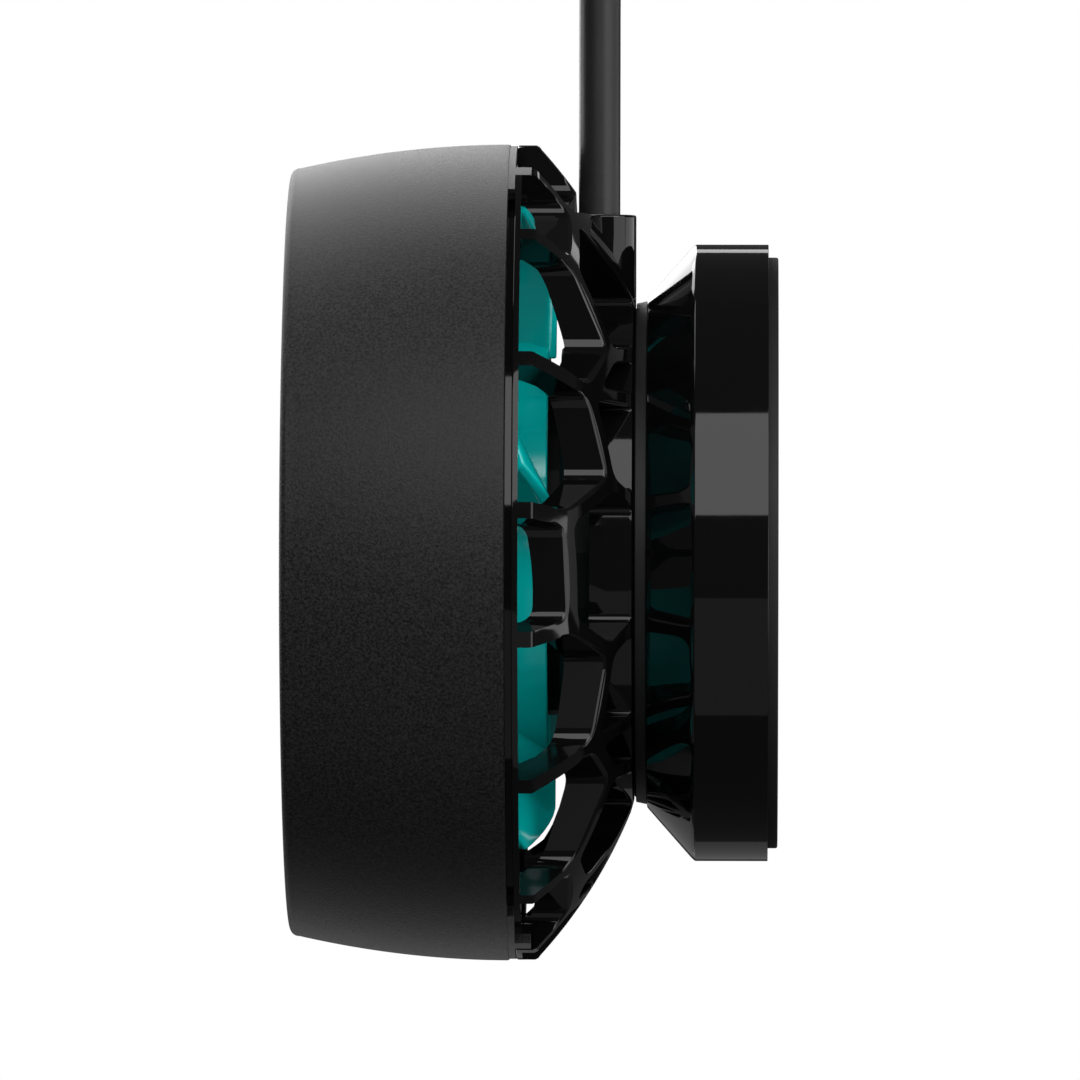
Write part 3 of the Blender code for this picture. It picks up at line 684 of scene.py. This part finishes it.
def make_guard(material):
    """The bowed guard across the shroud's mouth."""
    rows = [46.4 - (46.4 - 9.5) * step / 16 for step in range(17)]
    outer = [(guard_front(radius), radius) for radius in rows]
    profile = [(-57.2, 47.9), (-57.2, 49.1), (-60.9, 48.85), (-61.3, 48.4), (-61.3, 46.8)]
    profile += outer + [(-62.9, 7.9), (-63.2, 7.5), (-63.3, 7.0), (-63.3, 3.9), (-63.1, 3.6)]
    profile += [(-58.0, 3.6), (-58.0, 8.4)]
    profile += [(x + 2.3, radius) for x, radius in reversed(outer[:14])]
    guard = turned("guard", profile, material)
    bm = bmesh.new()
    for corners in guard_cells():
        guard_cutter(bm, corners)
    combine(guard, [as_object("guard_cells", bm)])
    return show(guard, "shroud", "satin_black", "front_guard")


# Rotor


def blade_rear(radius):
    """The blade's rear edge is flat at first and then sweeps forwards to the tip."""
    sweep = max(0.0, (radius - BLADE_SWEEP_START) / (PROPELLER_RADIUS - BLADE_SWEEP_START))
    return -30.2 - 3.9 * sweep**1.5


def blade_front(radius):
    share = (radius - PROPELLER_HUB_RADIUS) / (PROPELLER_RADIUS - PROPELLER_HUB_RADIUS)
    return -49.0 + 3.0 * share**2


def make_blade(index):
    """A twisted blade, as a grid that is thickened and given round edges."""
    bm = bmesh.new()
    rows, columns = 14, 28
    grid = []
    for row in range(rows + 1):
        reach = row / rows
        radius = BLADE_ROOT + (PROPELLER_RADIUS - BLADE_ROOT) * reach
        line = []
        for column in range(columns + 1):
            share = column / columns
            rear, front = blade_rear(radius), blade_front(radius)
            along = rear + 0.6 + (front - rear - 1.2) * share
            angle = 360.0 / BLADES * index + 52.0 * share + 14.0 * reach
            line.append(bm.verts.new((along, *polar(radius, angle))))
        grid.append(line)
    for low, high in zip(grid, grid[1:]):
        for column in range(columns):
            bm.faces.new((low[column], low[column + 1], high[column + 1], high[column]))
    blade = as_object(f"blade_{index}", bm)
    thick = blade.modifiers.new("thickness", "SOLIDIFY")
    thick.thickness = BLADE_THICKNESS * MM
    thick.offset = 0.0
    edge = blade.modifiers.new("edge", "BEVEL")
    edge.width = 0.45 * MM
    edge.segments = 3
    edge.limit_method = "ANGLE"
    edge.angle_limit = radians(50)
    bake(blade)
    return blade


def make_propeller(material):
    """The hub's cup with its rounded nose, and the blades round it."""
    outer = [(-30.2, 28.0), (-30.4, PROPELLER_HUB_RADIUS), (-45.0, PROPELLER_HUB_RADIUS)]
    nose_corners = [(-46.5, 28.2, 1.4), (-49.6, 26.2, 2.2), (-52.2, 21.5, 2.6)]
    nose_corners += [(-54.2, 15.0, 3.0), (-55.4, 8.0, 2.0)]
    nose = softened(nose_corners, 6)[:-1] + [(-55.8, 6.0)]
    inner = [(-55.8, 4.3), (-47.7, 4.3), (-47.7, 22.6), (-45.6, 25.4), (-30.2, 25.4)]
    propeller = turned("rotor_cup", outer + nose + inner, material)
    combine(propeller, [make_blade(index) for index in range(BLADES)], "UNION")
    return show(propeller, "rotor", "teal_plastic", "propeller")


# Base


def make_base_shell(material):
    """The base's cover: a cone towards the neck and a straight wall towards the glass."""
    corners = [(-17.25, 2.6, 0.0), (-17.25, 33.7, 0.2), (-11.4, 40.35, 0.2)]
    corners += [(-10.9, 40.8, 0.15), (-1.3, 40.8, 0.08), (-1.3, 39.4, 0.0), (-3.4, 39.4, 0.0)]
    corners += [(-3.4, 38.2, 0.0), (-10.6, 38.2, 0.0), (-14.9, 32.0, 0.0), (-14.9, 2.6, 0.0)]
    shell = turned("base_cover", softened(corners, 6), material, 256)
    return show(shell, "base", "gloss_black", "base_shell")


def make_pad(material):
    """The rubber pad, with shallow rings moulded into the face that lies on the glass."""
    corners = [(-1.3, 0.0, 0.0), (-1.3, 39.1, 0.0), (0.0, 39.1, 0.3)]
    for ring in (36.0, 33.0, 30.0, 27.0):
        corners += [(0.0, ring + 0.4, 0.1), (-0.4, ring + 0.2, 0.1)]
        corners += [(-0.4, ring - 0.2, 0.1), (0.0, ring - 0.4, 0.1)]
    corners.append((0.0, 0.0, 0.0))
    pad = turned("pad", softened(corners, 3), material)
    return show(pad, "base", "rubber", "glass_pad")


def make_neck(material):
    corners = [(-18.9, 2.6, 0.0), (-18.9, 32.2, 0.1), (-18.7, 32.4, 0.1), (-18.7, 33.0, 0.1)]
    corners += [(-17.3, 33.3, 0.05), (-17.3, 2.6, 0.0)]
    neck = turned("neck", softened(corners), material)
    return show(neck, "base", "satin_black", "neck_disc")


# Cord


def eased(start, end, share):
    """A value that leaves start and reaches end smoothly, as share goes from 0 to 1."""
    share = min(1.0, max(0.0, share))
    return start + (end - start) * (1 - cos(pi * share)) / 2


def coil_place(turns):
    """(x, radius) of the winding after a number of turns. Each step takes a third of a turn.

    A step is (turns at its start, change in layers). A change of 0 moves to the next row.
    """
    pitch = 2 * CABLE_RADIUS
    x, radius = ROW_START, COIL_RADIUS + 1.5 * pitch
    inward = [(0.667, -1), (1.667, -1), (2.667, -1)]
    rows = [(3.333, 0), (4.0, 1), (5.0, 1), (6.0, 1), (6.667, 0)]
    rows += [(7.333, -1), (8.333, -1), (9.333, -1), (10.0, 0)]
    rows += [(10.667, 1), (11.667, 1), (12.667, 1)]
    for start, change in inward + rows:
        part = eased(0.0, pitch, (turns - start) * 3)
        if change:
            radius += change * part
        else:
            x += part
    return x, radius


def cord_points():
    """The cord's line in millimetres: from the boss, round the coil and down to the plug."""
    points = []
    for step in range(24):
        share = step / 24
        x = eased(CABLE_X, ROW_START, (share - 0.3) / 0.6)
        points.append((x, 0.0, BOSS_TOP + (COIL_Z - BOSS_TOP) * share))
    for step in range(int(COIL_TURNS * COIL_STEPS) + 1):
        turns = step / COIL_STEPS
        x, radius = coil_place(turns)
        side, up = cos(2 * pi * turns), sin(2 * pi * turns)
        points.append((x, COIL_Y - radius * side, COIL_Z + radius * up))
    last = points[-1]
    for step in range(1, 11):
        share = step / 10
        x = eased(last[0], TAIL_X, share)
        points.append((x, last[1], last[2] + (TAIL_END - last[2]) * share))
    return points


def make_cord(material):
    curve = bpy.data.curves.new("cord", "CURVE")
    curve.dimensions = "3D"
    curve.bevel_depth = CABLE_RADIUS * MM
    curve.bevel_resolution = 5
    curve.use_fill_caps = True
    points = cord_points()
    spline = curve.splines.new("POLY")
    spline.points.add(len(points) - 1)
    for target, point in zip(spline.points, points):
        target.co = (*(value * MM for value in point), 1.0)
    curve.materials.append(material)
    cord = bpy.data.objects.new("cord", curve)
    bpy.context.scene.collection.objects.link(cord)
    return show(cord, "head", "cable_rubber", "cable", "cable_coil", "cable_tail")


def make_tie(material):
    """A strap round the top of the coil, whose free end lies on its outside."""
    half, reach = 11.35, 5.0
    cut = half - 2.4
    path = [(cut, half), (half - 0.7, half - 0.7), (half, cut), (half, 2.0 - half)]
    path += [(half - 0.6, -half + 0.2), (cut, -half - 0.5), (-cut, -half - 0.5)]
    path += [(0.6 - half, -half + 0.2), (-half, 2.0 - half), (-half, cut)]
    path += [(0.7 - half, half - 0.7), (-cut, half), (cut, half + 0.05)]
    bm = bmesh.new()
    rings = []
    for x, z in path:
        side = Vector((x, z)).normalized() * 0.8
        corners = [(x, -reach, z), (x, reach, z), (x + side.x, reach, z + side.y)]
        corners.append((x + side.x, -reach, z + side.y))
        rings.append([bm.verts.new(corner) for corner in corners])
    bm.faces.new(rings[0])
    bm.faces.new(rings[-1])
    for low, high in zip(rings, rings[1:]):
        for here in range(4):
            there = (here + 1) % 4
            bm.faces.new((low[here], low[there], high[there], high[here]))
    tie = as_object("tie", bm, material)
    tie.location = (COIL_X * MM, COIL_Y * MM, (COIL_Z + COIL_RADIUS) * MM)
    return show(tie, "head", "strap", "cable_tie")


def make_connector(material):
    """A round plug with three pins and a knurled nut, which hangs from the cord's end."""
    end = TAIL_END - 0.3
    corners = [(end - 21.0, 0.0, 0.0), (end - 21.0, 3.3, 0.0), (end - 26.7, 3.3, 0.2)]
    corners += [(end - 26.7, 4.4, 0.3), (end - 19.6, 4.4, 0.0)]
    corners += [(end - 19.6, 5.6, 0.3), (end - 8.0, 5.6, 1.5), (end - 5.0, 4.2, 0.8)]
    for ring in range(3):
        low = end - 4.4 + 1.4 * ring
        corners += [(low, 4.1 - 0.2 * ring, 0.1), (low + 0.3, 3.3, 0.1)]
        corners += [(low + 0.8, 3.3, 0.1), (low + 1.1, 4.0 - 0.2 * ring, 0.1)]
    corners += [(end, 3.5, 0.1), (end, 0.0, 0.0)]
    body = turned("plug", softened(corners), material, 96, "Z")
    pin = softened([(end - 25.4, 0.0, 0.0), (end - 25.4, 0.6, 0.3), (end - 20.0, 0.6, 0.0)])
    for index in range(3):
        place = polar(1.75, 120.0 * index + 90.0)
        prong = turned(f"pin_{index}", [*pin, (end - 20.0, 0.0)], None, 20, "Z")
        prong.location = (place[0] * MM, place[1] * MM, 0.0)
        combine(body, [prong], "UNION")
    nut_corners = [(end - 24.0, 4.75, 0.0), (end - 24.0, NUT_RADIUS, 0.5)]
    nut_corners += [(end - 20.0, NUT_RADIUS, 0.5), (end - 20.0, 4.75, 0.0)]
    nut = turned("nut", softened(nut_corners), material, 96, "Z")
    grooves = []
    rod = [(60.0, 0.0), (60.0, 0.55), (100.0, 0.55), (100.0, 0.0)]
    reach = NUT_RADIUS + 0.25
    for index in range(NUT_GROOVES):
        groove = turned(f"groove_{index}", rod, None, 12, "Z")
        angle = radians(360.0 / NUT_GROOVES * index)
        groove.location = (reach * cos(angle) * MM, reach * sin(angle) * MM, 0.0)
        grooves.append(groove)
    combine(nut, grooves)
    for obj in (body, nut):
        obj.location = (TAIL_X * MM, 2 * COIL_Y * MM, 0.0)
    show(body, "head", "satin_black", "connector_body")
    show(nut, "head", "satin_black", "connector_nut")
    return [body, nut]


# Stage


def make_camera():
    data = bpy.data.cameras.new("camera")
    data.sensor_width = 36.0
    data.lens = 18.0 / sin(radians(CAMERA_FIELD / 2)) * cos(radians(CAMERA_FIELD / 2))
    data.clip_end = 100.0
    camera = bpy.data.objects.new("camera", data)
    camera.location = CAMERA_PLACE
    aim = (Vector(CAMERA_TARGET) - Vector(CAMERA_PLACE)).to_track_quat("-Z", "Y")
    roll = Matrix.Rotation(radians(CAMERA_ROLL), 3, "Z")
    camera.rotation_euler = (aim.to_matrix() @ roll).to_euler()
    bpy.context.scene.collection.objects.link(camera)
    bpy.context.scene.camera = camera


def add_light(name, azimuth, elevation, distance, size, radiance):
    """A softbox that faces the pump. Azimuth 0 is the camera's side and 90 is +X.

    size is its width and height, in metres.
    """
    light = bpy.data.lights.new(name, "AREA")
    light.shape = "RECTANGLE"
    light.size, light.size_y = size
    light.energy = radiance * pi * size[0] * size[1]
    obj = bpy.data.objects.new(name, light)
    a, e = radians(azimuth), radians(elevation)
    direction = Vector((sin(a) * cos(e), -cos(a) * cos(e), sin(e)))
    obj.location = Vector((-0.03, 0.0, 0.0)) + direction * distance
    obj.rotation_euler = direction.to_track_quat("Z", "Y").to_euler()
    obj.visible_camera = False
    bpy.context.scene.collection.objects.link(obj)
    return obj


def make_lights(shroud, propeller, base):
    """Softboxes all round. Some fall only on one piece, or leave a piece out."""
    add_light("front_softbox", 12, 33.5, 1.2, (1.6, 0.85), 2.0)
    right = add_light("right_front_panel", 52, 8, 1.2, (1.05, 1.5), 1.4)
    add_light("right_softbox", 106, -3, 1.2, (1.3, 0.3), 1.5)
    add_light("left_strip", -105, 56, 1.2, (0.7, 0.5), 1.6)
    left = add_light("left_softbox", -118, 12, 1.2, (0.5, 0.9), 2.2)
    add_light("back_strip", 180, 26.5, 1.2, (1.6, 0.12), 1.3)
    add_light("back_left_panel", 202, 16, 1.3, (0.9, 0.85), 2.5)
    add_light("low_front", 0, -39, 0.9, (1.2, 0.75), 0.16)
    add_light("low_back", 180, -30, 1.0, (0.4, 0.5), 0.14)
    add_light("low_back_left", 208, -14, 1.2, (0.9, 0.7), 0.16)
    top = add_light("top_softbox", 180, 50, 1.2, (1.8, 1.0), 2.6)
    low = add_light("low_softbox", 180, -42, 1.2, (1.8, 0.9), 0.42)
    fill = add_light("propeller_fill", 0, 25, 1.2, (1.0, 1.0), 2.5)
    share_light(top, [shroud], "INCLUDE")
    share_light(low, [shroud], "INCLUDE")
    share_light(fill, [propeller], "INCLUDE")
    share_light(right, [shroud], "EXCLUDE")
    share_light(left, [propeller, base], "EXCLUDE")


def share_light(light, pieces, state):
    """Lets a light fall on these pieces alone, with nothing else in its way, or on all but them."""
    group = bpy.data.collections.new(f"{light.name}_{state.lower()}")
    for piece in pieces:
        group.objects.link(piece)
    for entry in group.collection_objects:
        entry.light_linking.link_state = state
    light.light_linking.receiver_collection = group
    if state == "INCLUDE":
        light.light_linking.blocker_collection = group


def make_world():
    """White behind the pump, and dim light from all round."""
    world = bpy.data.worlds.new("studio")
    world.use_nodes = True
    tree = world.node_tree
    tree.nodes.clear()
    seen = tree.nodes.new("ShaderNodeLightPath")
    dim = tree.nodes.new("ShaderNodeBackground")
    dim.inputs["Color"].default_value = (1.0, 1.0, 1.0, 1.0)
    dim.inputs["Strength"].default_value = 0.05
    white = tree.nodes.new("ShaderNodeBackground")
    white.inputs["Color"].default_value = (1.0, 1.0, 1.0, 1.0)
    white.inputs["Strength"].default_value = 1.0
    mix = tree.nodes.new("ShaderNodeMixShader")
    output = tree.nodes.new("ShaderNodeOutputWorld")
    link(tree, seen, "Is Camera Ray", mix, 0)
    link(tree, dim, "Background", mix, 1)
    link(tree, white, "Background", mix, 2)
    link(tree, mix, "Shader", output, "Surface")
    bpy.context.scene.world = world
    bpy.context.scene.view_settings.view_transform = "Standard"


def make_floor():
    """A pale floor under the pump, which throws no light and no reflection onto it."""
    bm = bmesh.new()
    bmesh.ops.create_grid(bm, x_segments=8, y_segments=8, size=4000.0)
    bmesh.ops.translate(bm, verts=bm.verts, vec=(0.0, 0.0, -300.0))
    material = bpy.data.materials.new("floor")
    material.use_nodes = True
    tree = material.node_tree
    shader = tree.nodes["Principled BSDF"]
    shader.inputs["Roughness"].default_value = 0.9
    shader.inputs["Base Color"].default_value = (0.8, 0.8, 0.79, 1.0)
    shader.inputs["Emission Color"].default_value = (1.0, 1.0, 1.0, 1.0)
    shader.inputs["Emission Strength"].default_value = 0.7
    floor = as_object("floor", bm, material)
    floor.visible_diffuse = False
    floor.visible_glossy = False


def main():
    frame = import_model()
    make_camera()
    materials = make_materials()
    cord = make_cord(materials["cable_rubber"])
    plug_pieces = make_connector(materials["satin_black"])
    tie = make_tie(materials["strap"])
    for piece in (cord, *plug_pieces, tie):
        piece.visible_glossy = False
    slots = {part["node"]: part["material_slot"] for part in frame["record"]["subparts"]}
    for name, node in frame["nodes"].items():
        node.data.materials.clear()
        node.data.materials.append(materials[slots[name]])
    shroud = make_front_shroud(materials["matte_black"])
    make_guard(materials["satin_black"])
    make_cage(materials["gloss_black"])
    propeller = make_propeller(materials["teal_plastic"])
    base = make_base_shell(materials["gloss_black"])
    make_pad(materials["rubber"])
    make_neck(materials["satin_black"])
    make_lights(shroud, propeller, base)
    make_world()
    make_floor()


main()
